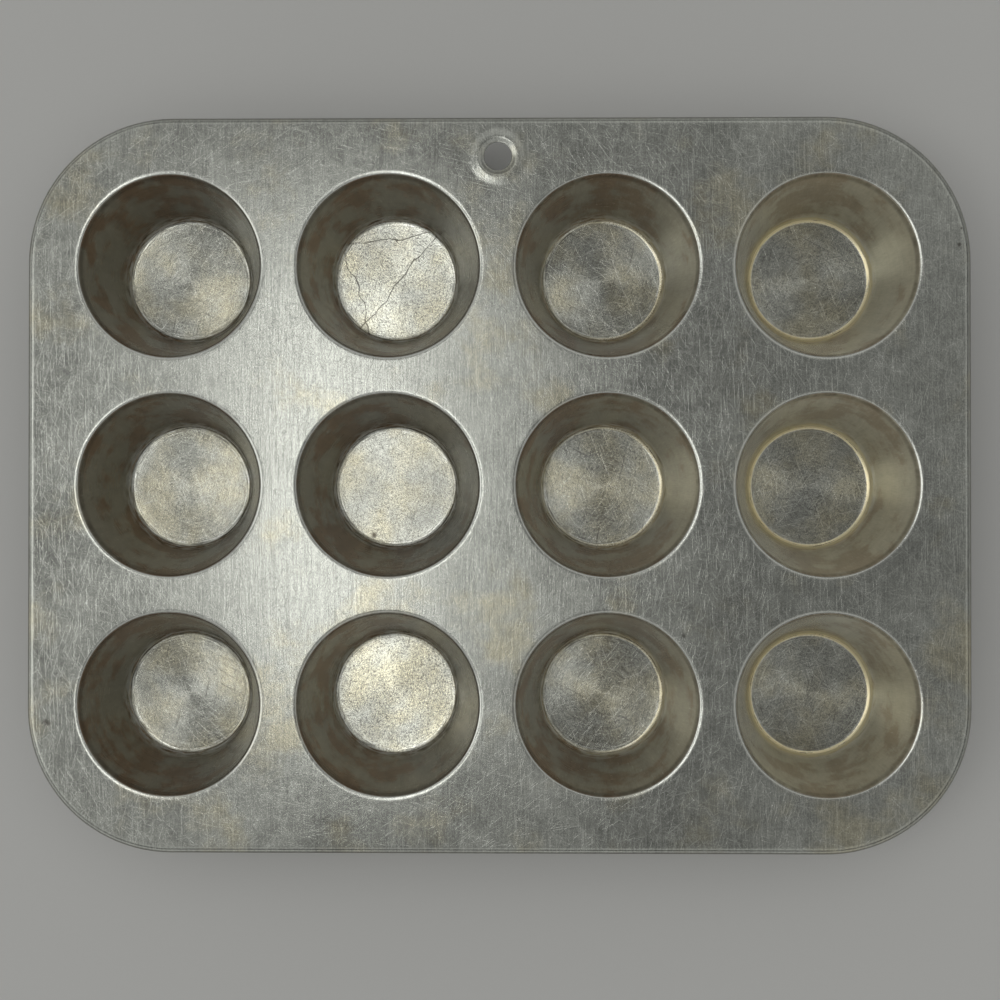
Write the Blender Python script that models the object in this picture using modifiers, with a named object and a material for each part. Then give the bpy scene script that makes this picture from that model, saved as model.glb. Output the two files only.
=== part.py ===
"""A mini muffin pan: one aluminium sheet with twelve drawn cups, its edge rolled over a steel wire.

Metres, +Z up. The origin is under the middle of the pan, on the plane that the cup floors stand on.
+X runs along the four columns of cups, and +Y points to the long side with the hang hole.
"""

import math

import bmesh
import bpy

# Cups, on the inside face of the sheet. The two radii are where the straight wall would meet deck and floor
COLUMNS = 4
ROWS = 3
MOUTH_RADIUS = 0.0251
FLOOR_RADIUS = 0.0180
CUP_DEPTH = 0.0286
MOUTH_ROUND = 0.0020
FLOOR_ROUND = 0.0022

# Flat deck left between two cups, and from the last cup to the outside of the rim
CUP_GAP = 0.00718
END_MARGIN = 0.01275
SIDE_MARGIN = 0.01443
CORNER_RADIUS = 0.0400

# Sheet, wire and the curl that holds it, as the angle where the sheet's edge ends
SHEET = 0.0008
WIRE_RADIUS = 0.0008
WIRE_CLEARANCE = 0.0003
WIRE_BUTT_GAP = 0.0006
CURL_END = math.radians(-198)

# Hang hole: a funnel inside a low round boss
HOLE_RADIUS = 0.00385
CREST_RADIUS = 0.0054
BOSS_RADIUS = 0.0080
HOLE_MARGIN = 0.0011
CREST_RISE = 0.0004
LIP_DROP = 0.0006

# Facets, and the distance under which two points are one
CUP_SIDES = 28
MOUTH_STEPS = 3
FLOOR_STEPS = 2
CORNER_STEPS = 8
CURL_STEPS = 9
BOSS_SIDES = 20
WIRE_BEVEL_STEPS = 2
MERGE = 1e-6

# Sizes that follow from those above
WALL_LEAN = math.atan2(MOUTH_RADIUS - FLOOR_RADIUS, CUP_DEPTH)
WALL_TURN = math.pi / 2 - WALL_LEAN
MOUTH_EDGE_RADIUS = MOUTH_RADIUS + MOUTH_ROUND * math.tan(WALL_TURN / 2)
FLOOR_FLAT_RADIUS = FLOOR_RADIUS - FLOOR_ROUND * math.tan(WALL_TURN / 2)
PITCH = 2 * MOUTH_EDGE_RADIUS + CUP_GAP
PAN_LENGTH = (COLUMNS - 1) * PITCH + 2 * (MOUTH_EDGE_RADIUS + END_MARGIN)
PAN_WIDTH = (ROWS - 1) * PITCH + 2 * (MOUTH_EDGE_RADIUS + SIDE_MARGIN)
DECK_TOP = SHEET + CUP_DEPTH
BEAD_RADIUS = WIRE_RADIUS + WIRE_CLEARANCE + SHEET
BEAD_HEIGHT = DECK_TOP - BEAD_RADIUS
HOLE_Y = PAN_WIDTH / 2 - BEAD_RADIUS - HOLE_MARGIN - BOSS_RADIUS


def clear_scene():
    for obj in list(bpy.data.objects):
        bpy.data.objects.remove(obj, do_unlink=True)


def metal(name, color, roughness):
    """A bare metal finish."""
    material = bpy.data.materials.new(name)
    material.use_nodes = True
    shader = material.node_tree.nodes["Principled BSDF"]
    shader.inputs["Base Color"].default_value = (*color, 1)
    shader.inputs["Metallic"].default_value = 1
    shader.inputs["Roughness"].default_value = roughness
    return material


def arc(centre, radius, start, end, steps):
    """Points from angle start to angle end, both included."""
    angles = [start + (end - start) * step / steps for step in range(steps + 1)]
    return [(centre[0] + radius * math.cos(a), centre[1] + radius * math.sin(a)) for a in angles]


def circle(centre, radius, sides):
    """A closed ring of points, which repeats none of them."""
    return arc(centre, radius, 0, 2 * math.pi, sides)[:-1]


def cup_centres():
    """The axis of each cup, row by row from the front left."""
    for row in range(ROWS):
        for column in range(COLUMNS):
            yield (column - (COLUMNS - 1) / 2) * PITCH, (row - (ROWS - 1) / 2) * PITCH


def bead_line():
    """The rounded rectangle along the middle of the rim bead, anticlockwise from the front right corner."""
    x = PAN_LENGTH / 2 - CORNER_RADIUS
    y = PAN_WIDTH / 2 - CORNER_RADIUS
    quarter = math.pi / 2
    points = []
    for turn, centre in enumerate(((x, -y), (x, y), (-x, y), (-x, -y)), start=-1):
        start = turn * quarter
        points += arc(centre, CORNER_RADIUS - BEAD_RADIUS, start, start + quarter, CORNER_STEPS)
    return points


def curve_object(name, outlines, cyclic, height=0):
    """A flat curve, straight from point to point, lying at a height."""
    curve = bpy.data.curves.new(name, "CURVE")
    curve.dimensions = "2D"
    for points in outlines:
        spline = curve.splines.new("POLY")
        spline.points.add(len(points) - 1)
        for target, (x, y) in zip(spline.points, points):
            target.co = (x, y, 0, 1)
        spline.use_cyclic_u = cyclic
    obj = bpy.data.objects.new(name, curve)
    obj.location.z = height
    bpy.context.scene.collection.objects.link(obj)
    return obj


def made_mesh(obj):
    """The mesh that a curve object makes, in the pan's frame. The curve is removed."""
    bpy.context.view_layer.update()
    mesh = bpy.data.meshes.new_from_object(obj.evaluated_get(bpy.context.evaluated_depsgraph_get()))
    mesh.transform(obj.matrix_world)
    bpy.data.objects.remove(obj, do_unlink=True)
    return mesh


def deck_mesh():
    """The flat deck, with a round opening for each cup and for the boss of the hang hole."""
    openings = [circle(centre, MOUTH_EDGE_RADIUS, CUP_SIDES) for centre in cup_centres()]
    openings.append(circle((0, HOLE_Y), BOSS_RADIUS, BOSS_SIDES))
    deck = curve_object("deck", [bead_line(), *openings], True, DECK_TOP)
    deck.data.fill_mode = "BOTH"
    return made_mesh(deck)


def curl_mesh():
    """The sheet's edge, rolled outwards, down and back in round the wire."""
    # A section's +X lies to the left of its path, which is inwards on the bead line, so the arc is mirrored
    roll = [(-x, y) for x, y in arc((0, 0), BEAD_RADIUS, math.pi / 2, CURL_END, CURL_STEPS)]
    section = curve_object("curl section", [roll], False)
    curl = curve_object("curl", [bead_line()], True, BEAD_HEIGHT)
    curl.data.fill_mode = "NONE"
    curl.data.bevel_mode = "OBJECT"
    curl.data.bevel_object = section
    mesh = made_mesh(curl)
    bpy.data.objects.remove(section, do_unlink=True)
    return mesh


def turned_mesh(name, profile, sides):
    """The face that a profile of (radius, height) points makes in one turn about Z."""
    shape = bmesh.new()
    points = [shape.verts.new((radius, 0, height)) for radius, height in profile]
    edges = [shape.edges.new(pair) for pair in zip(points, points[1:])]
    bmesh.ops.spin(
        shape,
        geom=points + edges,
        cent=(0, 0, 0),
        axis=(0, 0, 1),
        angle=2 * math.pi,
        steps=sides,
        use_merge=True,
    )
    bmesh.ops.remove_doubles(shape, verts=shape.verts, dist=MERGE)
    mesh = bpy.data.meshes.new(name)
    shape.to_mesh(mesh)
    shape.free()
    return mesh


def cup_mesh():
    """One drawn cup below a deck at height 0: mouth round, wall, floor round and flat floor."""
    mouth_centre = (MOUTH_EDGE_RADIUS, -MOUTH_ROUND)
    floor_centre = (FLOOR_FLAT_RADIUS, FLOOR_ROUND - CUP_DEPTH)
    mouth = arc(mouth_centre, MOUTH_ROUND, math.pi / 2, math.pi / 2 + WALL_TURN, MOUTH_STEPS)
    floor = arc(floor_centre, FLOOR_ROUND, -WALL_LEAN, -math.pi / 2, FLOOR_STEPS)
    return turned_mesh("cup", mouth + floor + [(0, -CUP_DEPTH)], CUP_SIDES)


def boss_mesh():
    """The boss on a deck at height 0: up over its crest and down the funnel to the hang hole's lip."""
    flank = ((BOSS_RADIUS + CREST_RADIUS) / 2, CREST_RISE / 2)
    profile = [(BOSS_RADIUS, 0), flank, (CREST_RADIUS, CREST_RISE), (HOLE_RADIUS, -LIP_DROP)]
    return turned_mesh("boss", profile, BOSS_SIDES)


def add_part(obj, collection, origin, finish):
    """Puts a piece in the pan's collection, under the pan's origin, and gives it its finish."""
    for other in list(obj.users_collection):
        other.objects.unlink(obj)
    collection.objects.link(obj)
    obj.parent = origin
    obj.data.materials.append(finish)


def pan_sheet():
    """The pressed sheet: its upper face as one surface, thickened downwards to the gauge of the metal."""
    shape = bmesh.new()
    pieces = [(deck_mesh(), (0, 0, 0)), (curl_mesh(), (0, 0, 0)), (boss_mesh(), (0, HOLE_Y, DECK_TOP))]
    cup = cup_mesh()
    pieces += [(cup, (x, y, DECK_TOP)) for x, y in cup_centres()]
    for mesh, place in pieces:
        first = len(shape.verts)
        shape.from_mesh(mesh)
        shape.verts.ensure_lookup_table()
        bmesh.ops.translate(shape, verts=shape.verts[first:], vec=place)
    bmesh.ops.remove_doubles(shape, verts=shape.verts, dist=MERGE)
    bmesh.ops.recalc_face_normals(shape, faces=shape.faces)
    if sum(face.normal.z * face.calc_area() for face in shape.faces) < 0:
        bmesh.ops.reverse_faces(shape, faces=shape.faces)
    mesh = bpy.data.meshes.new("pan_sheet")
    shape.to_mesh(mesh)
    shape.free()
    mesh.shade_smooth()
    mesh.set_sharp_from_angle(angle=math.radians(50))
    sheet = bpy.data.objects.new("pan_sheet", mesh)
    gauge = sheet.modifiers.new("gauge", "SOLIDIFY")
    gauge.thickness = SHEET
    gauge.offset = -1
    gauge.use_even_offset = True
    return sheet


def rim_wire():
    """The stiffening wire in the curl, one loop whose ends butt in the middle of the front side."""
    front = -PAN_WIDTH / 2 + BEAD_RADIUS
    route = [(WIRE_BUTT_GAP / 2, front), *bead_line(), (-WIRE_BUTT_GAP / 2, front)]
    wire = curve_object("rim_wire", [route], False, BEAD_HEIGHT)
    wire.data.dimensions = "3D"
    wire.data.bevel_depth = WIRE_RADIUS
    wire.data.bevel_resolution = WIRE_BEVEL_STEPS
    wire.data.use_fill_caps = True
    return wire


def main():
    clear_scene()
    collection = bpy.data.collections.new("mini_muffin_pan")
    bpy.context.scene.collection.children.link(collection)
    origin = bpy.data.objects.new("pan_origin", None)
    collection.objects.link(origin)
    add_part(pan_sheet(), collection, origin, metal("aged aluminium", (0.56, 0.56, 0.53), 0.35))
    add_part(rim_wire(), collection, origin, metal("tinned steel wire", (0.45, 0.45, 0.46), 0.4))


main()
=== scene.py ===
import math

import bmesh
import bpy
from bpy.props import FloatProperty, FloatVectorProperty, IntProperty, PointerProperty
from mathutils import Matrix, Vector


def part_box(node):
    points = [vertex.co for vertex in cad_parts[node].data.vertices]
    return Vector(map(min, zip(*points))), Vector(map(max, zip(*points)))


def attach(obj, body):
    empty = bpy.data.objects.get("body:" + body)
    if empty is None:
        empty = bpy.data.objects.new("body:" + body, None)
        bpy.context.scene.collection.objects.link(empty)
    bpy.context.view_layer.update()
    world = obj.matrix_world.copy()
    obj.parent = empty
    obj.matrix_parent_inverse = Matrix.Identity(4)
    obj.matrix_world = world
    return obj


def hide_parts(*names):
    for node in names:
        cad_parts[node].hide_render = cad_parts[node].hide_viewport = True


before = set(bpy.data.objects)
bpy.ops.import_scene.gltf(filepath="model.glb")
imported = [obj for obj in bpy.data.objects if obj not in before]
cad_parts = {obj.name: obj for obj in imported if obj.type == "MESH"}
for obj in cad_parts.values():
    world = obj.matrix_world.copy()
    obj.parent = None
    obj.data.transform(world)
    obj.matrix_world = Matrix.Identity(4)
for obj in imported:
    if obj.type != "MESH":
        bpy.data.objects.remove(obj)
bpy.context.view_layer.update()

bl_info = {
    "name": "Mini Muffin Pan",
    "version": (1, 0, 0),
    "blender": (4, 5, 0),
    "location": "View3D > Sidebar > Pan",
    "description": "Dresses the frame of a mini muffin pan as old brushed aluminium, with its stage",
    "category": "Add Mesh",
}

# Corners of the frame's sheet, which the fine one is set out from
SHEET_LOW, SHEET_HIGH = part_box("pan_sheet")

# A millimetre, in metres
MM = 0.001

# How far the fine mesh stays inside the frame's box, and the flat ring kept round each pressed form, which
# stops its shading from spreading over the deck
INSIDE = 0.00001
COLLAR = 0.0004

# Facets: sides of a cup, a corner and the boss, and rings along each stretch of their sections
CUP_SIDES = 96
SHOULDER_RINGS = 4
LIP_RINGS = 7
BARE_LIP_RINGS = 2
WALL_RINGS = 6
HEEL_RINGS = 8
BARE_HEEL_RINGS = 4
FLOOR_RINGS = 5
CORNER_SIDES = 24
CURL_RINGS = 26
BOSS_SIDES = 72
BOSS_RINGS = 8

# Places in the sheet's list of materials
DECK, WALL, FLOOR, UNDERSIDE = range(4)

# Cups with marks of their own, all in the second column. Cups count from 0 at the front left, row by row
# The floors of the first and last of these cups are painted brighter, partly a painted highlight
SCOURED_HIGHLIT_CUP = 1
DROP_CUP = 5
CUT_CUP = 9

# Real scratches, and the grain between them, are finer and are drawn this coarse to show
SCRATCH_WIDTH = 0.24 * MM
GRAIN_SIZE = 0.45 * MM

# Stage: half the table's side and the camera's place in metres, its turn in degrees, and its lens and sensor
# in millimetres
TABLE_HALF = 2.5
CAMERA_PLACE = (0.00614, -0.00732, 0.44914)
CAMERA_TURN = (0.431, 0.753, 0.018)
CAMERA_LENS = 54.94
CAMERA_SENSOR = 36


def linear(code):
    """A colour written as sRGB hex, as the linear values that a shader takes."""
    values = [int(code[place:place + 2], 16) / 255 for place in (0, 2, 4)]
    return tuple(value / 12.92 if value <= 0.04045 else ((value + 0.055) / 1.055) ** 2.4 for value in values)


def length(name, description, default):
    """A size in metres that a user may change."""
    return FloatProperty(name=name, description=description, default=default, unit="LENGTH", precision=5)


def colour(name, description, code):
    """A colour that a user may change, given as sRGB hex."""
    return FloatVectorProperty(
        name=name, description=description, default=linear(code), subtype="COLOR", size=3
    )


class PanSizes(bpy.types.PropertyGroup):
    """Sizes of the pan, on the upper face of its sheet."""

    columns: IntProperty(name="Columns", description="Cups along the pan", default=4, min=1)
    rows: IntProperty(name="Rows", description="Cups across the pan", default=3, min=1)
    pitch: length("Cup pitch", "From one cup's axis to the next", 0.0605085)
    mouth: length("Mouth radius", "Where the straight wall would meet the deck", 0.0251)
    floor: length("Floor radius", "Where the straight wall would meet the floor", 0.0180)
    depth: length("Cup depth", "From the deck to a cup's floor", 0.0286)
    shoulder: length("Shoulder", "Radius of the slow bend where the deck is drawn in", 0.0034)
    shoulder_turn: FloatProperty(
        name="Shoulder turn",
        description="How far the shoulder bends down",
        default=math.radians(14),
        subtype="ANGLE",
    )
    lip: length("Lip", "Radius of the tight bend into the wall", 0.0009)
    heel: length("Heel", "Radius of the bend from wall to floor", 0.0018)
    gauge: length("Gauge", "Thickness of the sheet", 0.0008)
    corner: length("Corner radius", "Outside of the rim at a corner", 0.0400)
    bead: length("Rim radius", "Outside of the rolled rim", 0.0019)
    curl_turn: FloatProperty(
        name="Curl turn",
        description="How far the sheet's edge is rolled",
        default=math.radians(288),
        subtype="ANGLE",
    )
    hole: length("Hole radius", "Lip of the hang hole", 0.00385)
    hole_place: length("Hole place", "From the pan's middle to the hang hole", 0.0906026)
    crest: length("Crest radius", "Top of the boss round the hole", 0.0054)
    boss: length("Boss radius", "Foot of the boss", 0.00825)
    crest_rise: length("Crest rise", "Height of the boss over the deck", 0.00026)
    lip_drop: length("Lip drop", "Depth of the hole's lip under the deck", 0.0002)


class PanLooks(bpy.types.PropertyGroup):
    """Colours of the metal, of what has baked onto it, and of the table."""

    aluminium: colour("Aluminium", "Old bare sheet, greyed by its oxide", "A9ABA3")
    worn: colour("Worn aluminium", "Scratches and edges that use keeps bright", "DBDCD4")
    # Partly a painted highlight: the bright ring at the foot of the cups scrubbed most
    burnish_and_highlight: colour("Burnished aluminium", "Bright metal under a trace of baked oil", "F4E8BE")
    straw: colour("Straw tint", "Thin film of baked oil on bare sheet", "BFB693")
    thin_film: colour("Thin film", "What scrubbing leaves of the baked film", "B3AF9C")
    film: colour("Baked film", "Grease baked onto the cup walls", "8A8676")
    caramel: colour("Caramel", "Sugar burnt onto the walls in patches", "7A6248")
    grime: colour("Grime", "Burnt residue in the creases", "3A3128")
    steel: colour("Wire steel", "Dull tinned steel wire", "8A8A8C")
    table: colour("Table", "Pale table top", "D0D0CC")


def add_node(tree, kind, links=(), **settings):
    """Adds a node with its settings. Links fill its inputs, by name or number, with values, nodes or
    sockets."""
    node = tree.nodes.new(kind)
    for name, value in settings.items():
        setattr(node, name, value)
    for key, value in dict(links).items():
        sockets = [socket for socket in node.inputs if socket.enabled and socket.name == key]
        socket = sockets[0] if sockets else node.inputs[key]
        if isinstance(value, bpy.types.Node):
            value = next(output for output in value.outputs if output.enabled)
        if isinstance(value, bpy.types.NodeSocket):
            tree.links.new(value, socket)
        elif socket.type == "RGBA":
            socket.default_value = (*value, 1)
        else:
            socket.default_value = value
    return node


def new_metal(name):
    """A bare metal's material and its tree."""
    material = bpy.data.materials.new(name)
    material.use_nodes = True
    material.node_tree.nodes["Principled BSDF"].inputs["Metallic"].default_value = 1
    return material, material.node_tree


def summed(tree, base, parts):
    """A base with several patterns added, each as (pattern, share)."""
    for pattern, share in parts:
        base = add_node(tree, "ShaderNodeMath", {0: pattern, 1: share, 2: base}, operation="MULTIPLY_ADD")
    return base


def finish_metal(tree, tone, roughness, relief, depth):
    """Wires a colour, a roughness and a relief to the shader. A relief of 1 is one depth high."""
    shader = tree.nodes["Principled BSDF"]
    bump = add_node(tree, "ShaderNodeBump", {"Height": relief, "Distance": depth, "Strength": 1.0})
    for name, node in (("Base Color", tone), ("Roughness", roughness), ("Normal", bump)):
        output = next(output for output in node.outputs if output.enabled)
        tree.links.new(output, shader.inputs[name])


def comb_gloss(tree, across, share):
    """Draws the gloss out across fine marks that all run one way. Across is a direction in the piece's
    frame."""
    shader = tree.nodes["Principled BSDF"]
    shader.inputs["Anisotropic"].default_value = share
    tree.links.new(across.outputs[0], shader.inputs["Tangent"])


def streaks(tree, place, angle, across, along, seed, detail=1.0):
    """Noise drawn out along one direction in the deck's plane: so wide across it and so long along it."""
    turned = add_node(
        tree,
        "ShaderNodeMapping",
        {"Vector": place, "Rotation": (0, 0, math.radians(angle)), "Scale": (across, along, along)},
        vector_type="TEXTURE",
    )
    return add_node(
        tree,
        "ShaderNodeTexNoise",
        {"Vector": turned, "W": seed, "Scale": 1.0, "Detail": detail, "Roughness": 0.6},
        noise_dimensions="4D",
    )


def scratches(tree, place, sets):
    """Scratches in several directions, 1 where there is one. Each set is (angle, length, least noise)."""
    most = 0.0
    for seed, (angle, along, low) in enumerate(sets):
        noise = streaks(tree, place, angle, SCRATCH_WIDTH, along, seed + 0.5)
        cut = add_node(
            tree,
            "ShaderNodeMapRange",
            {"Value": noise, "From Min": low, "From Max": low + 0.10},
            interpolation_type="SMOOTHSTEP",
        )
        most = add_node(tree, "ShaderNodeMath", {0: cut, 1: most}, operation="MAXIMUM")
    return most


def cup_space(tree):
    """A place as its cup sees it: offset, distance and direction from the axis, the cup's number, and how
    much the cup was scrubbed, which grows from the middle of the pan to its right end."""
    offset = add_node(tree, "ShaderNodeUVMap", uv_map="from_axis")
    place = add_node(tree, "ShaderNodeTexCoord").outputs["Object"]
    along = add_node(tree, "ShaderNodeSeparateXYZ", {0: place}).outputs["X"]
    return {
        "offset": offset,
        "place": place,
        "scrubbed": add_node(
            tree,
            "ShaderNodeMapRange",
            {"Value": along, "From Min": 0.0, "From Max": 85 * MM},
            interpolation_type="SMOOTHSTEP",
        ),
        "number": add_node(tree, "ShaderNodeAttribute", attribute_name="cup").outputs["Fac"],
        "radius": add_node(tree, "ShaderNodeVectorMath", {0: offset}, operation="LENGTH"),
        "direction": add_node(tree, "ShaderNodeVectorMath", {0: offset}, operation="NORMALIZE"),
    }


def round_the_axis(tree, cup, across, width, reach):
    """Noise in marks that run round a cup's axis: so wide across them, and so long at the floor's edge."""
    ring = add_node(tree, "ShaderNodeVectorMath", {0: cup["direction"], "Scale": reach}, operation="SCALE")
    step = add_node(tree, "ShaderNodeMath", {0: across, 1: width}, operation="DIVIDE")
    lift = add_node(tree, "ShaderNodeCombineXYZ", {"Z": step})
    place = add_node(tree, "ShaderNodeVectorMath", {0: ring, 1: lift}, operation="ADD")
    return add_node(
        tree,
        "ShaderNodeTexNoise",
        {"Vector": place, "W": cup["number"], "Scale": 1.0, "Detail": 3.0, "Roughness": 0.6},
        noise_dimensions="4D",
    )


def burnt_spots(tree, place, ragged, spots):
    """Spots of burnt sugar, as the share that they hide. Each is (x, y, radius), and ragged noise frays
    it."""
    flat = add_node(tree, "ShaderNodeVectorMath", {0: place, 1: (1, 1, 0)}, operation="MULTIPLY")
    most = 0.0
    for x, y, radius in spots:
        # The noise adds about 1.5 radii to the distance, so a spot fades out from 0.2 to 1 radius
        away = add_node(tree, "ShaderNodeVectorMath", {0: flat, 1: (x, y, 0)}, operation="DISTANCE")
        away = add_node(
            tree,
            "ShaderNodeMath",
            {0: ragged, 1: 3 * radius, 2: away.outputs["Value"]},
            operation="MULTIPLY_ADD",
        )
        spot = add_node(
            tree,
            "ShaderNodeMapRange",
            {
                "Value": away,
                "From Min": 1.7 * radius,
                "From Max": 2.5 * radius,
                "To Min": 0.85,
                "To Max": 0.0,
            },
            interpolation_type="SMOOTHSTEP",
        )
        most = add_node(tree, "ShaderNodeMath", {0: spot, 1: most}, operation="MAXIMUM")
    return most


def deck_metal(looks, sizes):
    """Rolled aluminium sheet, brushed when new. Years of use leave a fine mesh of scratches in every
    direction, dull grey oxide, faint straw patches of baked oil, a few burnt spots, and bright rubbed edges
    where the cups begin, partly wear and partly a painted highlight. The flank of the rolled rim stays dull,
    as nothing rubs there, and is darkened towards grime, partly grime and partly painted shade."""
    material, tree = new_metal("brushed_aged_aluminium")
    cup = cup_space(tree)
    place = cup["place"]
    top = deck_height(sizes)
    # The real brush lines are under 0.1 mm wide, so they are drawn 0.3 mm wide to show
    brush = streaks(tree, place, 0, 0.30 * MM, 8 * MM, 0.0, 2.0)
    grain = add_node(
        tree,
        "ShaderNodeTexNoise",
        {"Vector": place, "Scale": 1 / GRAIN_SIZE, "Detail": 2.0, "Roughness": 0.8},
    )
    cloud = add_node(
        tree, "ShaderNodeTexNoise", {"Vector": place, "Scale": 1 / (5 * MM), "Detail": 5.0, "Roughness": 0.7}
    )
    drift = add_node(tree, "ShaderNodeTexNoise", {"Vector": place, "Scale": 1 / (30 * MM), "Detail": 2.0})
    oil = add_node(
        tree,
        "ShaderNodeTexNoise",
        {"Vector": place, "Scale": 1 / (20 * MM), "Detail": 3.0, "Lacunarity": 2.3},
    )
    scratch = scratches(
        tree,
        place,
        (
            (3, 10 * MM, 0.61),
            (-17, 7 * MM, 0.62),
            (33, 6 * MM, 0.63),
            (76, 6 * MM, 0.64),
            (-54, 6 * MM, 0.64),
            (-80, 17 * MM, 0.68),
            (48, 15 * MM, 0.68),
        ),
    )
    # Bright rubbed edges at the mouths, partly wear and partly a painted highlight on the lip's bend
    rubbed_and_highlit = add_node(
        tree,
        "ShaderNodeMapRange",
        {
            "Value": cup["radius"],
            "From Min": sizes.mouth + 0.5 * MM,
            "From Max": sizes.mouth + 1.5 * MM,
            "To Min": 1.0,
            "To Max": 0.0,
        },
        interpolation_type="SMOOTHSTEP",
    )
    # The rim's flank is what lies lower than the deck and well away from the bends at the mouths
    height = add_node(tree, "ShaderNodeSeparateXYZ", {0: place}).outputs["Z"]
    low = add_node(
        tree,
        "ShaderNodeMapRange",
        {
            "Value": height,
            "From Min": top - 0.90 * MM,
            "From Max": top - 0.60 * MM,
            "To Min": 1.0,
            "To Max": 0.0,
        },
        interpolation_type="SMOOTHSTEP",
    )
    beyond = add_node(
        tree, "ShaderNodeMath", {0: cup["radius"], 1: sizes.mouth + 4 * MM}, operation="GREATER_THAN"
    )
    dull = add_node(tree, "ShaderNodeMath", {0: low, 1: beyond}, operation="MULTIPLY")
    stained = add_node(
        tree,
        "ShaderNodeMapRange",
        {"Value": oil, "From Min": 0.50, "From Max": 0.74, "To Max": 0.45},
        interpolation_type="SMOOTHSTEP",
    )
    tone = add_node(
        tree, "ShaderNodeMix", {"Factor": stained, "A": looks.aluminium, "B": looks.straw}, data_type="RGBA"
    )
    shade = summed(tree, -0.31, ((cloud, 0.55), (drift, 0.5), (brush, 0.7), (grain, 0.9)))
    tone = add_node(
        tree, "ShaderNodeMix", {"Factor": 1.0, "A": tone, "B": shade}, data_type="RGBA", blend_type="MULTIPLY"
    )
    bright = add_node(tree, "ShaderNodeMath", {0: scratch, 1: 0.21}, operation="MULTIPLY")
    bright = add_node(
        tree, "ShaderNodeMath", {0: rubbed_and_highlit, 1: 0.30, 2: bright}, operation="MULTIPLY_ADD", use_clamp=True
    )
    tone = add_node(tree, "ShaderNodeMix", {"Factor": bright, "A": tone, "B": looks.worn}, data_type="RGBA")
    burnt = burnt_spots(
        tree,
        place,
        cloud,
        (
            (-124.3 * MM, -65.5 * MM, 1.4 * MM),
            (51.0 * MM, -41.4 * MM, 1.2 * MM),
            (126.6 * MM, 66.0 * MM, 0.7 * MM),
            (127.2 * MM, 70.5 * MM, 0.5 * MM),
        ),
    )
    # The rim's flank is darkened towards grime, partly grime and partly painted shade. The burnt spots are
    # burnt sugar.
    grime_and_shade = add_node(tree, "ShaderNodeMath", {0: dull, 1: burnt}, operation="MAXIMUM")
    grime_and_shade = add_node(tree, "ShaderNodeMath", {0: grime_and_shade, 1: 0.75}, operation="MULTIPLY")
    tone = add_node(tree, "ShaderNodeMix", {"Factor": grime_and_shade, "A": tone, "B": looks.grime}, data_type="RGBA")
    roughness = summed(
        tree,
        0.06,
        ((cloud, 0.14), (drift, 0.10), (grain, 0.06), (scratch, 0.04), (rubbed_and_highlit, -0.05), (dull, 0.20)),
    )
    relief = summed(tree, 0.0, ((brush, 0.8), (grain, 1.2), (scratch, -0.50), (cloud, 2.5), (drift, 9.0)))
    finish_metal(tree, tone, roughness, relief, 0.012 * MM)
    return material


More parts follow.
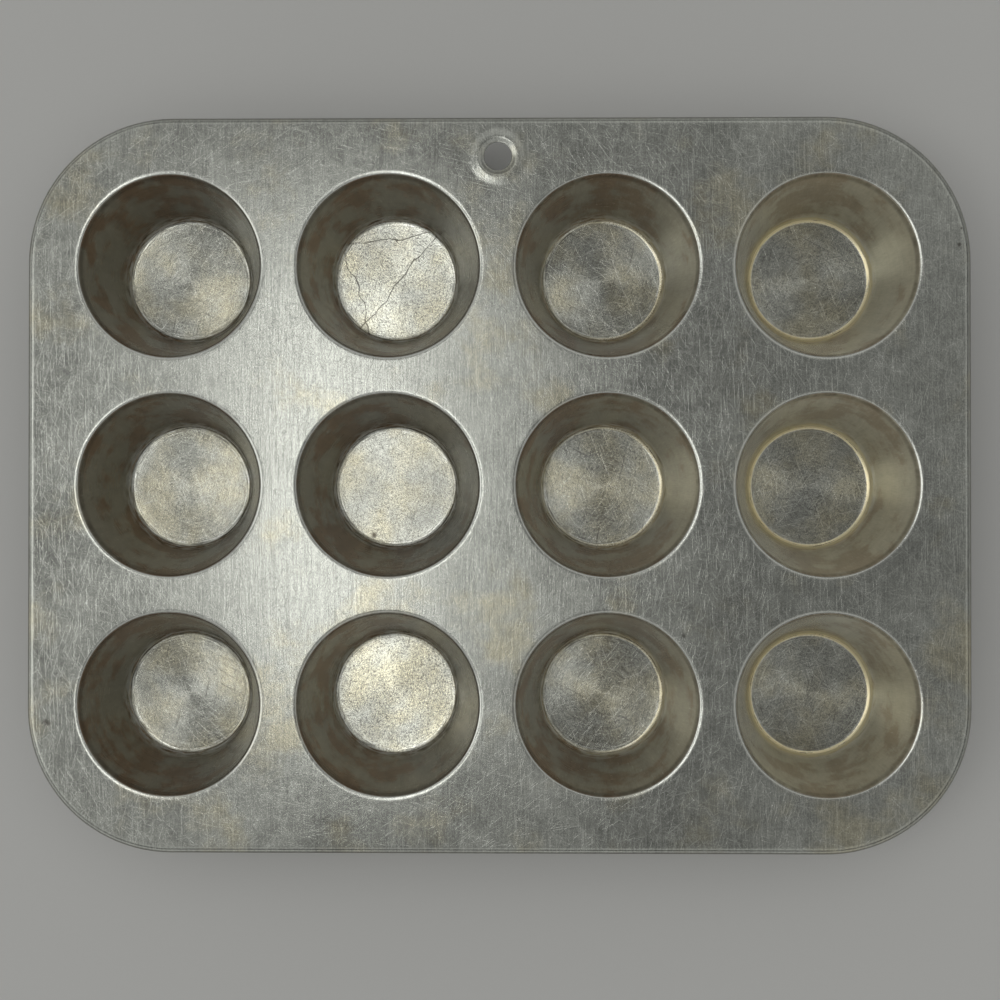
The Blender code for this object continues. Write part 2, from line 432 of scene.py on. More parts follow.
def wall_metal(looks, sizes):
    """Drawn cup wall under a brown film of baked grease, thinner in the cups that were scrubbed most. Light
    scatters in the film, so the wall looks softer than bare metal. Tool marks run round it, old drips run
    down it, spatulas have scratched it, and fine rings are worn in the crease at its foot."""
    material, tree = new_metal("drawn_aluminium_with_baked_film")
    tree.nodes["Principled BSDF"].inputs["Metallic"].default_value = 0.45
    cup = cup_space(tree)
    height = add_node(tree, "ShaderNodeSeparateXYZ", {0: cup["place"]}).outputs["Z"]
    top = deck_height(sizes)
    rings = round_the_axis(tree, cup, height, 0.6 * MM, 1.6)
    creases = round_the_axis(tree, cup, cup["radius"], 0.32 * MM, 4.0)
    drips = round_the_axis(tree, cup, height, 12 * MM, 9.0)
    hairs = round_the_axis(tree, cup, height, 2.6 * MM, 60.0)
    blots = add_node(
        tree,
        "ShaderNodeTexNoise",
        {"Vector": cup["place"], "W": cup["number"], "Scale": 1 / (9 * MM), "Detail": 5.0, "Roughness": 0.6},
        noise_dimensions="4D",
    )
    scrubbed = cup["scrubbed"]
    foot = add_node(
        tree,
        "ShaderNodeMapRange",
        {
            "Value": cup["radius"],
            "From Min": sizes.floor + 0.1 * MM,
            "From Max": sizes.floor + 1.2 * MM,
            "To Min": 1.0,
            "To Max": 0.0,
        },
        interpolation_type="SMOOTHSTEP",
    )
    cover = summed(tree, 0.35, ((blots, 0.9), (drips, 0.5), (rings, 0.2), (scrubbed, -0.50), (foot, -0.30)))
    coat = add_node(
        tree, "ShaderNodeMapRange", {"Value": cover, "From Min": 0.1, "From Max": 1.1, "To Min": 0.10}
    )
    tone = add_node(
        tree, "ShaderNodeMix", {"Factor": coat, "A": looks.thin_film, "B": looks.film}, data_type="RGBA"
    )
    # Most of the brown is left at the front and back of a cup, which a hand scrubs least
    direction = add_node(tree, "ShaderNodeSeparateXYZ", {0: cup["direction"]})
    ends = add_node(tree, "ShaderNodeMath", {0: direction.outputs["Y"]}, operation="ABSOLUTE")
    # Painted shade: where less was scrubbed off, the wall is painted darker on the right of a cup and a
    # little browner on its left
    unscrubbed = add_node(tree, "ShaderNodeMath", {0: 1.0, 1: scrubbed}, operation="SUBTRACT")
    one_side_shade = add_node(tree, "ShaderNodeMath", {0: direction.outputs["X"], 1: unscrubbed}, operation="MULTIPLY")
    rust = summed(tree, -0.06, ((blots, 1.0), (ends, 0.14), (one_side_shade, -0.05)))
    rust = add_node(
        tree,
        "ShaderNodeMapRange",
        {"Value": rust, "From Min": 0.50, "From Max": 0.64, "To Max": 0.75},
        interpolation_type="SMOOTHSTEP",
    )
    kept = add_node(tree, "ShaderNodeMath", {0: scrubbed, 1: -0.5, 2: 1.0}, operation="MULTIPLY_ADD")
    rust = add_node(tree, "ShaderNodeMath", {0: rust, 1: kept}, operation="MULTIPLY")
    tone = add_node(tree, "ShaderNodeMix", {"Factor": rust, "A": tone, "B": looks.caramel}, data_type="RGBA")
    # The wall is lighter towards its foot, partly a painted highlight on the heel's bend
    shade = summed(
        tree, 0.0, ((drips, 0.9), (rings, 0.5), (hairs, 0.6), (scrubbed, 0.6), (foot, 0.5), (one_side_shade, -0.42))
    )
    tone = add_node(
        tree, "ShaderNodeMix", {"Factor": 1.0, "A": tone, "B": shade}, data_type="RGBA", blend_type="MULTIPLY"
    )
    burnt = add_node(
        tree,
        "ShaderNodeMapRange",
        {"Value": creases, "From Min": 0.34, "From Max": 0.44, "To Min": 0.8, "To Max": 0.0},
        interpolation_type="SMOOTHSTEP",
    )
    burnt = add_node(tree, "ShaderNodeMath", {0: burnt, 1: foot}, operation="MULTIPLY")
    worn = add_node(
        tree,
        "ShaderNodeMapRange",
        {"Value": creases, "From Min": 0.44, "From Max": 0.56, "To Max": 0.9},
        interpolation_type="SMOOTHSTEP",
    )
    worn = add_node(tree, "ShaderNodeMath", {0: worn, 1: foot}, operation="MULTIPLY")
    # In the cups that were scrubbed most, a bright ring is left where the wall turns into the floor, partly
    # burnished metal and partly a painted highlight on the bend
    burnt = add_node(tree, "ShaderNodeMath", {0: burnt, 1: kept}, operation="MULTIPLY")
    burnish_and_highlight_ring = add_node(
        tree,
        "ShaderNodeMapRange",
        {
            "Value": cup["radius"],
            "From Min": sizes.floor,
            "From Max": sizes.floor + 0.6 * MM,
            "To Min": 0.8,
            "To Max": 0.0,
        },
        interpolation_type="SMOOTHSTEP",
    )
    burnish_and_highlight_ring = add_node(tree, "ShaderNodeMath", {0: burnish_and_highlight_ring, 1: scrubbed}, operation="MULTIPLY")
    # Painted shade: a band just under the mouth is darkened towards grime, broken up by the drips
    shade_under_mouth = add_node(
        tree,
        "ShaderNodeMapRange",
        {"Value": height, "From Min": top - 3.2 * MM, "From Max": top - 1.4 * MM, "To Max": 0.55},
        interpolation_type="SMOOTHSTEP",
    )
    broken = summed(tree, -0.4, ((drips, 2.2),))
    shade_under_mouth = add_node(tree, "ShaderNodeMath", {0: shade_under_mouth, 1: broken}, operation="MULTIPLY", use_clamp=True)
    burnt = add_node(tree, "ShaderNodeMath", {0: burnt, 1: shade_under_mouth}, operation="MAXIMUM")
    scraped = add_node(
        tree,
        "ShaderNodeMapRange",
        {"Value": hairs, "From Min": 0.64, "From Max": 0.74, "To Max": 0.35},
        interpolation_type="SMOOTHSTEP",
    )
    worn = add_node(tree, "ShaderNodeMath", {0: worn, 1: scraped}, operation="MAXIMUM")
    # Crease grime and the painted shade under the mouth darken the wall towards grime
    tone = add_node(tree, "ShaderNodeMix", {"Factor": burnt, "A": tone, "B": looks.grime}, data_type="RGBA")
    tone = add_node(tree, "ShaderNodeMix", {"Factor": worn, "A": tone, "B": looks.worn}, data_type="RGBA")
    tone = add_node(
        tree, "ShaderNodeMix", {"Factor": burnish_and_highlight_ring, "A": tone, "B": looks.burnish_and_highlight}, data_type="RGBA"
    )
    roughness = summed(tree, 0.16, ((blots, 0.16), (rings, 0.06), (scrubbed, -0.07)))
    relief = summed(tree, 0.0, ((rings, 1.0), (drips, 0.8), (hairs, 0.5), (creases, 0.5), (blots, 4.0)))
    finish_metal(tree, tone, roughness, relief, 0.010 * MM)
    # The tool marks run round the cup, so the gloss is drawn out up and down the wall
    upright = add_node(tree, "ShaderNodeCombineXYZ", {"Z": 1.0})
    comb_gloss(tree, upright, 0.5)
    return material


def knife_cuts(tree, cup, wave, cuts):
    """Thin dark cuts across a cup's floor. Each cut is (angle, distance from the axis), and wave, a noise
    with a mean of a half, bends it."""
    bend = 9 * MM
    half_width = 0.13 * MM
    most = 0.0
    for angle, distance in cuts:
        across = add_node(
            tree,
            "ShaderNodeVectorRotate",
            {"Vector": cup["offset"], "Angle": math.radians(angle)},
            rotation_type="Z_AXIS",
        )
        across = add_node(tree, "ShaderNodeSeparateXYZ", {0: across}).outputs["X"]
        across = add_node(tree, "ShaderNodeMath", {0: wave, 1: bend, 2: across}, operation="MULTIPLY_ADD")
        cut = add_node(
            tree, "ShaderNodeMath", {0: across, 1: distance + bend / 2, 2: half_width}, operation="COMPARE"
        )
        most = add_node(tree, "ShaderNodeMath", {0: cut, 1: most}, operation="MAXIMUM")
    return most


def floor_metal(looks, sizes):
    """Cup floor brightened by scouring: short scratches every way, some of them dark, faint circles from
    turning spoons, pits, straw tint, grey blotches, knife cuts in one cup and a burnt drop in another, and
    bright rings where the floor meets its crease, partly worn and partly a painted highlight. Two cups are
    painted brighter, partly a painted highlight."""
    material, tree = new_metal("scoured_aluminium")
    cup = cup_space(tree)
    place = cup["place"]
    grit = add_node(
        tree,
        "ShaderNodeTexNoise",
        {"Vector": place, "W": cup["number"], "Scale": 1 / GRAIN_SIZE, "Detail": 2.0, "Roughness": 0.8},
        noise_dimensions="4D",
    )
    blots = add_node(
        tree,
        "ShaderNodeTexNoise",
        {"Vector": place, "W": cup["number"], "Scale": 1 / (9 * MM), "Detail": 5.0, "Roughness": 0.65},
        noise_dimensions="4D",
    )
    oil = add_node(
        tree,
        "ShaderNodeTexNoise",
        {"Vector": place, "W": cup["number"], "Scale": 1 / (14 * MM), "Lacunarity": 2.3},
        noise_dimensions="4D",
    )
    swirl = round_the_axis(tree, cup, cup["radius"], 0.4 * MM, 3.0)
    turns = round_the_axis(tree, cup, cup["radius"], 0.24 * MM, 1.8)
    turned = add_node(
        tree,
        "ShaderNodeMapRange",
        {"Value": turns, "From Min": 0.60, "From Max": 0.70},
        interpolation_type="SMOOTHSTEP",
    )
    dark_turns = add_node(
        tree,
        "ShaderNodeMapRange",
        {"Value": turns, "From Min": 0.30, "From Max": 0.38, "To Min": 0.45, "To Max": 0.0},
        interpolation_type="SMOOTHSTEP",
    )
    pits = add_node(
        tree,
        "ShaderNodeMapRange",
        {"Value": grit, "From Min": 0.32, "From Max": 0.42, "To Min": 0.45, "To Max": 0.0},
        interpolation_type="SMOOTHSTEP",
    )
    scratch = scratches(
        tree,
        place,
        (
            (20, 9 * MM, 0.63),
            (-40, 8 * MM, 0.63),
            (80, 7 * MM, 0.64),
            (-75, 9 * MM, 0.64),
            (50, 15 * MM, 0.65),
        ),
    )
    scratch = add_node(tree, "ShaderNodeMath", {0: scratch, 1: turned}, operation="MAXIMUM")
    scored = scratches(tree, place, ((-12, 12 * MM, 0.62), (62, 10 * MM, 0.63)))
    edge = add_node(
        tree,
        "ShaderNodeMapRange",
        {"Value": cup["radius"], "From Min": sizes.floor - 2.6 * MM, "From Max": sizes.floor - 1.0 * MM},
        interpolation_type="SMOOTHSTEP",
    )
    stained = add_node(
        tree,
        "ShaderNodeMapRange",
        {"Value": oil, "From Min": 0.35, "From Max": 0.70, "To Min": 0.05, "To Max": 0.5},
        interpolation_type="SMOOTHSTEP",
    )
    burnt = add_node(
        tree,
        "ShaderNodeMapRange",
        {"Value": swirl, "From Min": 0.40, "From Max": 0.48, "To Min": 0.6, "To Max": 0.0},
        interpolation_type="SMOOTHSTEP",
    )
    burnt = add_node(tree, "ShaderNodeMath", {0: burnt, 1: edge}, operation="MULTIPLY")
    shiny = add_node(
        tree,
        "ShaderNodeMapRange",
        {"Value": swirl, "From Min": 0.54, "From Max": 0.62, "To Max": 0.8},
        interpolation_type="SMOOTHSTEP",
    )
    shiny = add_node(tree, "ShaderNodeMath", {0: shiny, 1: edge}, operation="MULTIPLY")
    # In the cups that were scrubbed most, the ring round the floor is bright, broken by a few grooves, partly
    # burnished metal and partly a painted highlight on the bend
    kept = add_node(tree, "ShaderNodeMath", {0: cup["scrubbed"], 1: -0.8, 2: 1.0}, operation="MULTIPLY_ADD")
    burnt = add_node(tree, "ShaderNodeMath", {0: burnt, 1: kept}, operation="MULTIPLY")
    burnish_and_highlight_ring = add_node(
        tree,
        "ShaderNodeMapRange",
        {"Value": cup["radius"], "From Min": sizes.floor - 1.3 * MM, "From Max": sizes.floor - 0.9 * MM},
        interpolation_type="SMOOTHSTEP",
    )
    grooved = add_node(
        tree,
        "ShaderNodeMapRange",
        {"Value": swirl, "From Min": 0.38, "From Max": 0.46, "To Min": 0.4, "To Max": 0.9},
    )
    burnish_and_highlight_ring = add_node(tree, "ShaderNodeMath", {0: burnish_and_highlight_ring, 1: grooved}, operation="MULTIPLY")
    burnish_and_highlight_ring = add_node(tree, "ShaderNodeMath", {0: burnish_and_highlight_ring, 1: cup["scrubbed"]}, operation="MULTIPLY")
    # Only the cup that is second from the left in the back row has been cut in
    is_cut = add_node(tree, "ShaderNodeMath", {0: cup["number"], 1: CUT_CUP, 2: 0.5}, operation="COMPARE")
    knife = knife_cuts(tree, cup, oil, ((36, 0.4 * MM), (-17, -11.6 * MM), (-95, 12 * MM)))
    knife = add_node(tree, "ShaderNodeMath", {0: knife, 1: is_cut}, operation="MULTIPLY")
    tone = add_node(
        tree, "ShaderNodeMix", {"Factor": stained, "A": looks.aluminium, "B": looks.straw}, data_type="RGBA"
    )
    # The cups at both ends of the second column have their floors painted brighter, partly a painted
    # highlight and partly scouring, and they keep grey in their pits
    scoured_and_highlit = add_node(
        tree, "ShaderNodeMath", {0: cup["number"], 1: SCOURED_HIGHLIT_CUP, 2: 0.5}, operation="COMPARE"
    )
    scoured_and_highlit = add_node(tree, "ShaderNodeMath", {0: is_cut, 1: scoured_and_highlit}, operation="MAXIMUM")
    shade = summed(tree, -0.41, ((blots, 1.0), (grit, 1.25), (swirl, 0.7), (scoured_and_highlit, 0.60)))
    tone = add_node(
        tree, "ShaderNodeMix", {"Factor": 1.0, "A": tone, "B": shade}, data_type="RGBA", blend_type="MULTIPLY"
    )
    bright = add_node(tree, "ShaderNodeMath", {0: scratch, 1: 0.32}, operation="MULTIPLY")
    bright = add_node(tree, "ShaderNodeMath", {0: bright, 1: shiny}, operation="MAXIMUM")
    tone = add_node(tree, "ShaderNodeMix", {"Factor": bright, "A": tone, "B": looks.worn}, data_type="RGBA")
    dark = add_node(tree, "ShaderNodeMath", {0: knife, 1: 0.75}, operation="MULTIPLY")
    dark = add_node(tree, "ShaderNodeMath", {0: dark, 1: burnt}, operation="MAXIMUM")
    dark = add_node(tree, "ShaderNodeMath", {0: dark, 1: dark_turns}, operation="MAXIMUM")
    scored = add_node(tree, "ShaderNodeMath", {0: scored, 1: 0.4}, operation="MULTIPLY")
    dark = add_node(tree, "ShaderNodeMath", {0: dark, 1: scored}, operation="MAXIMUM")
    dark = add_node(tree, "ShaderNodeMath", {0: dark, 1: pits}, operation="MAXIMUM")
    specks = add_node(
        tree,
        "ShaderNodeMapRange",
        {"Value": grit, "From Min": 0.38, "From Max": 0.48, "To Min": 0.6, "To Max": 0.0},
        interpolation_type="SMOOTHSTEP",
    )
    # The cup between those two is pitted half as much, and holds one burnt drop at its floor's edge
    has_drop = add_node(tree, "ShaderNodeMath", {0: cup["number"], 1: DROP_CUP, 2: 0.5}, operation="COMPARE")
    pitted = add_node(tree, "ShaderNodeMath", {0: has_drop, 1: 0.5, 2: scoured_and_highlit}, operation="MULTIPLY_ADD")
    specks = add_node(tree, "ShaderNodeMath", {0: specks, 1: pitted}, operation="MULTIPLY")
    dark = add_node(tree, "ShaderNodeMath", {0: dark, 1: specks}, operation="MAXIMUM")
    drop = burnt_spots(tree, cup["offset"], blots, ((-6.6 * MM, -14.2 * MM, 1.4 * MM),))
    drop = add_node(tree, "ShaderNodeMath", {0: drop, 1: has_drop}, operation="MULTIPLY")
    dark = add_node(tree, "ShaderNodeMath", {0: dark, 1: drop}, operation="MAXIMUM")
    tone = add_node(tree, "ShaderNodeMix", {"Factor": dark, "A": tone, "B": looks.grime}, data_type="RGBA")
    tone = add_node(
        tree, "ShaderNodeMix", {"Factor": burnish_and_highlight_ring, "A": tone, "B": looks.burnish_and_highlight}, data_type="RGBA"
    )
    roughness = summed(tree, 0.08, ((blots, 0.14), (grit, 0.12), (scratch, 0.03), (burnish_and_highlight_ring, 0.12)))
    relief = summed(tree, 0.0, ((grit, 1.4), (swirl, 1.2), (scratch, -0.6), (knife, -1.0), (blots, 5.0)))
    finish_metal(tree, tone, roughness, relief, 0.012 * MM)
    # Most of the scouring runs round the cup, so the gloss is drawn out towards its axis
    comb_gloss(tree, cup["direction"], 0.8)
    return material


def underside_metal(looks):
    """The side that faces the oven: matt drawn aluminium, browned by heat in clouds, with faint draw
    lines."""
    material, tree = new_metal("oven_dulled_aluminium")
    place = add_node(tree, "ShaderNodeTexCoord").outputs["Object"]
    cloud = add_node(
        tree, "ShaderNodeTexNoise", {"Vector": place, "Scale": 1 / (14 * MM), "Detail": 5.0, "Roughness": 0.6}
    )
    fine = add_node(tree, "ShaderNodeTexNoise", {"Vector": place, "Scale": 1 / (0.9 * MM), "Detail": 3.0})
    drawn = add_node(
        tree, "ShaderNodeMapping", {"Vector": place, "Scale": (1 / (1.2 * MM), 1 / (1.2 * MM), 1 / (16 * MM))}
    )
    drawn = add_node(tree, "ShaderNodeTexNoise", {"Vector": drawn, "Scale": 1.0, "Detail": 2.0})
    brown = add_node(
        tree,
        "ShaderNodeMapRange",
        {"Value": cloud, "From Min": 0.42, "From Max": 0.70},
        interpolation_type="SMOOTHSTEP",
    )
    burnt = add_node(
        tree,
        "ShaderNodeMapRange",
        {"Value": cloud, "From Min": 0.62, "From Max": 0.78, "To Max": 0.5},
        interpolation_type="SMOOTHSTEP",
    )
    tone = add_node(
        tree, "ShaderNodeMix", {"Factor": brown, "A": looks.aluminium, "B": looks.film}, data_type="RGBA"
    )
    tone = add_node(tree, "ShaderNodeMix", {"Factor": burnt, "A": tone, "B": looks.grime}, data_type="RGBA")
    roughness = summed(tree, 0.32, ((cloud, 0.2), (fine, 0.1)))
    relief = summed(tree, 0.0, ((fine, 0.6), (drawn, 1.0)))
    finish_metal(tree, tone, roughness, relief, 0.006 * MM)
    return material


def wire_metal(looks):
    """Tinned steel wire, dull and freckled with rust where the tin has gone."""
    material, tree = new_metal("tinned_steel_wire")
    place = add_node(tree, "ShaderNodeTexCoord").outputs["Object"]
    freckle = add_node(
        tree,
        "ShaderNodeTexNoise",
        {"Vector": place, "Scale": 1 / (1.6 * MM), "Detail": 4.0, "Roughness": 0.7},
    )
    rust = add_node(
        tree,
        "ShaderNodeMapRange",
        {"Value": freckle, "From Min": 0.58, "From Max": 0.70},
        interpolation_type="SMOOTHSTEP",
    )
    tone = add_node(
        tree, "ShaderNodeMix", {"Factor": rust, "A": looks.steel, "B": looks.grime}, data_type="RGBA"
    )
    roughness = summed(tree, 0.25, ((freckle, 0.35),))
    finish_metal(tree, tone, roughness, freckle, 0.01 * MM)
    return material


def arc(centre, radius, start, end, steps):
    """Points along an arc after its first, which the shape before it already has."""
    angles = [start + (end - start) * step / steps for step in range(1, steps + 1)]
    return [(centre[0] + radius * math.cos(a), centre[1] + radius * math.sin(a)) for a in angles]


def cup_section(sizes):
    """The radius where the flat deck ends, and (radius, height, material) of each ring from there to the
    floor."""
    quarter = math.pi / 2
    lean = math.atan2(sizes.mouth - sizes.floor, sizes.depth)
    inner = sizes.shoulder - sizes.lip
    drop = -sizes.shoulder + inner * math.cos(sizes.shoulder_turn)
    lip_at = (sizes.mouth + drop * math.tan(lean) + sizes.lip / math.cos(lean), drop)
    edge = lip_at[0] + inner * math.sin(sizes.shoulder_turn)
    bend = quarter + sizes.shoulder_turn
    shoulder = arc((edge, -sizes.shoulder), sizes.shoulder, quarter, bend, SHOULDER_RINGS)
    lip = arc(lip_at, sizes.lip, bend, 2 * quarter - lean, LIP_RINGS)
    flat = sizes.floor - sizes.heel * math.tan((quarter - lean) / 2)
    heel_at = (flat, sizes.heel - sizes.depth)
    foot = Vector((flat + sizes.heel * math.cos(lean), heel_at[1] - sizes.heel * math.sin(lean)))
    wall = [tuple(Vector(lip[-1]).lerp(foot, step / WALL_RINGS)) for step in range(1, WALL_RINGS + 1)]
    heel = arc(heel_at, sizes.heel, -lean, -quarter, HEEL_RINGS)
    floor = [(flat * (1 - step / (FLOOR_RINGS + 1)), -sizes.depth) for step in range(1, FLOOR_RINGS + 1)]
    bare = shoulder + lip[:BARE_LIP_RINGS]
    filmed = lip[BARE_LIP_RINGS:] + wall + heel[:-BARE_HEEL_RINGS]
    rings = [(*point, DECK) for point in bare] + [(*point, WALL) for point in filmed]
    return edge, rings + [(*point, FLOOR) for point in heel[-BARE_HEEL_RINGS:] + floor]


def deck_height(sizes):
    """Height of the deck's upper face over the table."""
    return SHEET_LOW.z + INSIDE + sizes.gauge + sizes.depth


def cup_axis(sizes, column, row):
    """Place of a cup's axis. Columns count from the left and rows from the front."""
    return Vector((column - (sizes.columns - 1) / 2, row - (sizes.rows - 1) / 2)) * sizes.pitch


def bead_half(sizes):
    """Half the length and width of the line along the middle of the rolled rim."""
    reach = sizes.bead + INSIDE
    return Vector((SHEET_HIGH.x - reach, SHEET_HIGH.y - reach))


def beyond_corners(sizes, reach, height):
    """Places a point so far out from the rectangle between the centres of the pan's four corner arcs."""
    limits = bead_half(sizes) - Vector((1, 1)) * (sizes.corner - sizes.bead)

    def place(vert):
        centre = Vector([max(-limit, min(limit, value)) for value, limit in zip(vert.co, limits)])
        return *(centre + (vert.co.xy - centre).normalized() * reach), height
    return place


def round_axis(centre, radius, height):
    """Places a point at a radius from an axis."""
    return lambda vert: (*(centre + (vert.co.xy - centre).normalized() * radius), height)


def grow(shape, edges, place, material=DECK):
    """Extrudes a closed loop of edges and puts each new point where place says. Returns the new loop."""
    made = bmesh.ops.extrude_edge_only(shape, edges=edges)["geom"]
    for vert in [item for item in made if isinstance(item, bmesh.types.BMVert)]:
        vert.co = place(vert)
        for face in vert.link_faces:
            face.material_index = material
    return [item for item in made if isinstance(item, bmesh.types.BMEdge) and item.is_boundary]


def add_ring(shape, centre, radius, height, sides):
    """A circle of edges, from which a pressed form grows."""
    verts = bmesh.ops.create_circle(shape, segments=sides, radius=radius)["verts"]
    bmesh.ops.translate(shape, verts=verts, vec=(*centre, height))
    return list(dict.fromkeys(edge for vert in verts for edge in vert.link_edges))


def add_cup(shape, sizes, column, row):
    """One drawn cup inside a collar of flat deck. Returns the collar's outer edges."""
    centre = cup_axis(sizes, column, row)
    top = deck_height(sizes)
    edge, rings = cup_section(sizes)
    collar = add_ring(shape, centre, edge + COLLAR, top, CUP_SIDES)
    loop = grow(shape, collar, round_axis(centre, edge, top))
    for radius, height, material in rings:
        loop = grow(shape, loop, round_axis(centre, radius, top + height), material)
    loop = grow(shape, loop, round_axis(centre, rings[-1][0] / 2, top - sizes.depth), FLOOR)
    middle = list(dict.fromkeys(vert for line in loop for vert in line.verts))
    bmesh.ops.pointmerge(shape, verts=middle, merge_co=(*centre, top - sizes.depth))
    return collar


def add_boss(shape, sizes):
    """The boss of the hang hole inside a collar of flat deck: up over its crest and down the funnel to the
    lip. Returns the collar's outer edges."""
    centre = Vector((0, sizes.hole_place))
    top = deck_height(sizes)
    collar = add_ring(shape, centre, sizes.boss + COLLAR, top, BOSS_SIDES)
    loop = grow(shape, collar, round_axis(centre, sizes.boss, top))
    for start, end, low, high, straight in (
        (sizes.boss, sizes.crest, 0, sizes.crest_rise, 0),
        (sizes.crest, sizes.hole, sizes.crest_rise, -sizes.lip_drop, 0.5),
    ):
        for step in range(1, BOSS_RINGS + 1):
            share = step / BOSS_RINGS
            ease = straight * share + (1 - straight) * (1 - math.cos(math.pi * share)) / 2
            radius = start + (end - start) * share
            height = top + low + (high - low) * ease
            loop = grow(shape, loop, round_axis(centre, radius, height))
    return collar


def add_rim(shape, sizes):
    """The sheet's edge rolled outwards, down and back in round the wire. Returns the inner edges of its
    collar."""
    half = bead_half(sizes)
    top = deck_height(sizes)
    reach = sizes.corner - sizes.bead
    corners = bmesh.ops.create_grid(shape, x_segments=1, y_segments=1, size=1)["verts"]
    bmesh.ops.scale(shape, verts=corners, vec=(*half, 1))
    bmesh.ops.translate(shape, verts=corners, vec=(0, 0, top))
    bmesh.ops.bevel(
        shape, geom=corners, offset=reach, affect="VERTICES", segments=CORNER_SIDES, profile=0.5, material=-1
    )
    outline = [face for face in shape.faces if len(face.verts) > 4]
    line = list(outline[0].edges)
    bmesh.ops.delete(shape, geom=outline, context="FACES_ONLY")
    collar = grow(shape, line, beyond_corners(sizes, reach - COLLAR, top))
    loop = line
    for step in range(1, CURL_RINGS + 1):
        turn = sizes.curl_turn * step / CURL_RINGS
        out = reach + sizes.bead * math.sin(turn)
        loop = grow(shape, loop, beyond_corners(sizes, out, top - sizes.bead + sizes.bead * math.cos(turn)))
    return collar


def mark_cups(shape, sizes):
    """Writes on each face its cup's number, and on each of its corners the offset from that cup's axis."""
    offset = shape.loops.layers.uv.new("from_axis")
    number = shape.faces.layers.int.new("cup")
    for face in shape.faces:
        middle = face.calc_center_median()
        column = max(0, min(sizes.columns - 1, math.floor(middle.x / sizes.pitch + sizes.columns / 2)))
        row = max(0, min(sizes.rows - 1, math.floor(middle.y / sizes.pitch + sizes.rows / 2)))
        face[number] = row * sizes.columns + column
        for corner in face.loops:
            corner[offset].uv = corner.vert.co.xy - cup_axis(sizes, column, row)


class PAN_OT_sheet(bpy.types.Operator):
    """Builds the pressed sheet: deck, cups, hang hole and rolled rim in one skin"""

    bl_idname = "pan.sheet"
    bl_label = "Pressed Sheet"

    def execute(self, context):
        sizes = context.scene.pan_sizes
        looks = context.scene.pan_looks
        shape = bmesh.new()
        openings = add_rim(shape, sizes) + add_boss(shape, sizes)
        for row in range(sizes.rows):
            for column in range(sizes.columns):
                openings += add_cup(shape, sizes, column, row)
        bmesh.ops.triangle_fill(shape, edges=openings, use_beauty=True, normal=(0, 0, 1))
        bmesh.ops.recalc_face_normals(shape, faces=shape.faces)
        if sum(face.normal.z * face.calc_area() for face in shape.faces) < 0:
            bmesh.ops.reverse_faces(shape, faces=shape.faces)
        mark_cups(shape, sizes)
        mesh = bpy.data.meshes.new("pressed_sheet")
        shape.to_mesh(mesh)
        shape.free()
        mesh.shade_smooth()
        for metal in (
            deck_metal(looks, sizes),
            wall_metal(looks, sizes),
            floor_metal(looks, sizes),
            underside_metal(looks),
        ):
            mesh.materials.append(metal)
        sheet = bpy.data.objects.new("pressed_sheet", mesh)
        context.scene.collection.objects.link(sheet)
        gauge = sheet.modifiers.new("gauge", "SOLIDIFY")
        gauge.thickness = sizes.gauge
        gauge.offset = -1
        gauge.use_even_offset = True
        gauge.material_offset = UNDERSIDE
        gauge.material_offset_rim = UNDERSIDE
        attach(sheet, "root")
        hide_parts("pan_sheet")
        return {"FINISHED"}


class PAN_OT_wire(bpy.types.Operator):
    """Gives the frame's stiffening wire its tinned steel"""

    bl_idname = "pan.wire"
    bl_label = "Rim Wire"

    def execute(self, context):
        bpy.data.objects["rim_wire"].material_slots[0].material = wire_metal(context.scene.pan_looks)
        return {"FINISHED"}


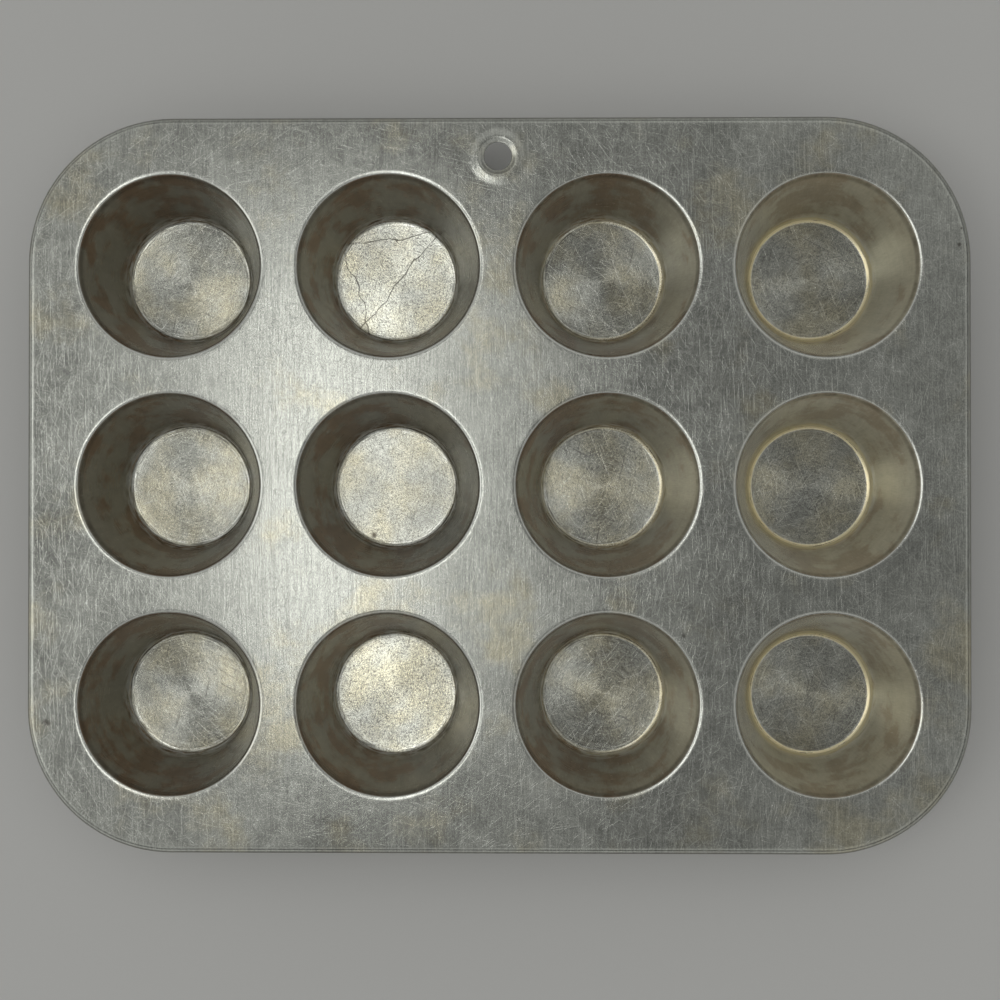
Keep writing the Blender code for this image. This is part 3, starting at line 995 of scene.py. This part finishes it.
class PAN_OT_stage(bpy.types.Operator):
    """Builds the table, the light and the camera"""

    bl_idname = "pan.stage"
    bl_label = "Stage"

    def execute(self, context):
        looks = context.scene.pan_looks
        shape = bmesh.new()
        bmesh.ops.create_grid(shape, x_segments=1, y_segments=1, size=TABLE_HALF)
        mesh = bpy.data.meshes.new("table")
        shape.to_mesh(mesh)
        shape.free()
        material = bpy.data.materials.new("matt_painted_table")
        material.use_nodes = True
        paint = material.node_tree.nodes["Principled BSDF"].inputs
        paint["Base Color"].default_value = (*looks.table, 1)
        paint["Roughness"].default_value = 0.8
        mesh.materials.append(material)
        table = bpy.data.objects.new("table", mesh)
        context.scene.collection.objects.link(table)

        for name, place, across, along, power in (
            ("ceiling_panel", (-0.17, 0.02, 1.26), 0.42, 0.52, 0.42),
            ("ceiling_tube", (-0.20, 0.02, 1.25), 0.09, 0.52, 0.54),
        ):
            light = bpy.data.lights.new(name, "AREA")
            light.shape = "RECTANGLE"
            light.size = across
            light.size_y = along
            light.energy = power
            lamp = bpy.data.objects.new(name, light)
            lamp.location = place
            context.scene.collection.objects.link(lamp)

        world = bpy.data.worlds.new("studio")
        world.use_nodes = True
        context.scene.world = world
        tree = world.node_tree
        # A band of soft side light, a little brighter from the front and the left, between pale ground beyond
        # the table and a dim ceiling
        view = add_node(tree, "ShaderNodeTexCoord").outputs["Generated"]
        split = add_node(tree, "ShaderNodeSeparateXYZ", {0: view})
        height = split.outputs["Z"]
        rise = add_node(
            tree,
            "ShaderNodeMapRange",
            {"Value": height, "From Min": 0.02, "From Max": 0.12},
            interpolation_type="SMOOTHSTEP",
        )
        fall = add_node(
            tree,
            "ShaderNodeMapRange",
            {"Value": height, "From Min": 0.34, "From Max": 0.50, "To Min": 1.0, "To Max": 0.0},
            interpolation_type="SMOOTHSTEP",
        )
        side = add_node(
            tree, "ShaderNodeVectorMath", {0: view, 1: (-0.14, -0.18, 0.0)}, operation="DOT_PRODUCT"
        )
        side = add_node(tree, "ShaderNodeMath", {0: side.outputs["Value"], 1: 0.4}, operation="ADD")
        band = add_node(tree, "ShaderNodeMath", {0: rise, 1: fall}, operation="MULTIPLY")
        ceiling = add_node(
            tree,
            "ShaderNodeMapRange",
            {"Value": height, "From Min": 0.90, "From Max": 0.96, "To Min": 0.62, "To Max": 0.22},
            interpolation_type="SMOOTHSTEP",
        )
        # The ceiling is dimmer towards its edges, and a little brighter at the back left
        corner = add_node(
            tree,
            "ShaderNodeMapRange",
            {"Value": height, "From Min": 0.66, "From Max": 0.80, "To Min": 0.3, "To Max": 1.0},
            interpolation_type="SMOOTHSTEP",
        )
        corner = add_node(
            tree, "ShaderNodeMath", {0: split.outputs["X"], 1: -0.1, 2: corner}, operation="MULTIPLY_ADD"
        )
        corner = add_node(
            tree, "ShaderNodeMath", {0: split.outputs["Y"], 1: 0.1, 2: corner}, operation="MULTIPLY_ADD"
        )
        ceiling = add_node(tree, "ShaderNodeMath", {0: ceiling, 1: corner}, operation="MULTIPLY")
        level = add_node(tree, "ShaderNodeMath", {0: band, 1: side, 2: ceiling}, operation="MULTIPLY_ADD")
        ground = add_node(
            tree,
            "ShaderNodeMapRange",
            {"Value": height, "From Min": 0.02, "From Max": 0.12, "To Min": 0.29, "To Max": 0.0},
            interpolation_type="SMOOTHSTEP",
        )
        level = add_node(tree, "ShaderNodeMath", {0: level, 1: ground}, operation="MAXIMUM")
        # A soft window, high on the left
        window = add_node(
            tree, "ShaderNodeVectorMath", {0: view, 1: (-0.62, -0.04, 0.78)}, operation="DOT_PRODUCT"
        )
        window = add_node(
            tree,
            "ShaderNodeMapRange",
            {"Value": window.outputs["Value"], "From Min": 0.95, "From Max": 0.99, "To Max": 1.15},
            interpolation_type="SMOOTHSTEP",
        )
        level = add_node(tree, "ShaderNodeMath", {0: level, 1: window}, operation="ADD")
        tree.links.new(level.outputs[0], tree.nodes["Background"].inputs["Color"])

        data = bpy.data.cameras.new("camera")
        data.lens = CAMERA_LENS
        data.sensor_width = CAMERA_SENSOR
        camera = bpy.data.objects.new("camera", data)
        camera.location = CAMERA_PLACE
        camera.rotation_euler = [math.radians(angle) for angle in CAMERA_TURN]
        context.scene.collection.objects.link(camera)
        context.scene.camera = camera
        context.scene.view_settings.view_transform = "Standard"
        return {"FINISHED"}


class PAN_PT_panel(bpy.types.Panel):
    """Lists the pan's steps, sizes and colours"""

    bl_idname = "PAN_PT_panel"
    bl_label = "Mini Muffin Pan"
    bl_space_type = "VIEW_3D"
    bl_region_type = "UI"
    bl_category = "Pan"

    def draw(self, context):
        for operator in (PAN_OT_stage, PAN_OT_sheet, PAN_OT_wire):
            self.layout.operator(operator.bl_idname)
        for group in (context.scene.pan_sizes, context.scene.pan_looks):
            box = self.layout.box()
            for name in group.bl_rna.properties.keys():
                if name not in ("rna_type", "name"):
                    box.prop(group, name)


CLASSES = (PanSizes, PanLooks, PAN_OT_stage, PAN_OT_sheet, PAN_OT_wire, PAN_PT_panel)


def register():
    for item in CLASSES:
        bpy.utils.register_class(item)
    bpy.types.Scene.pan_sizes = PointerProperty(type=PanSizes)
    bpy.types.Scene.pan_looks = PointerProperty(type=PanLooks)


def unregister():
    del bpy.types.Scene.pan_looks
    del bpy.types.Scene.pan_sizes
    for item in reversed(CLASSES):
        bpy.utils.unregister_class(item)


def main():
    register()
    bpy.ops.pan.stage()
    bpy.ops.pan.sheet()
    bpy.ops.pan.wire()


if __name__ == "__main__":
    main()
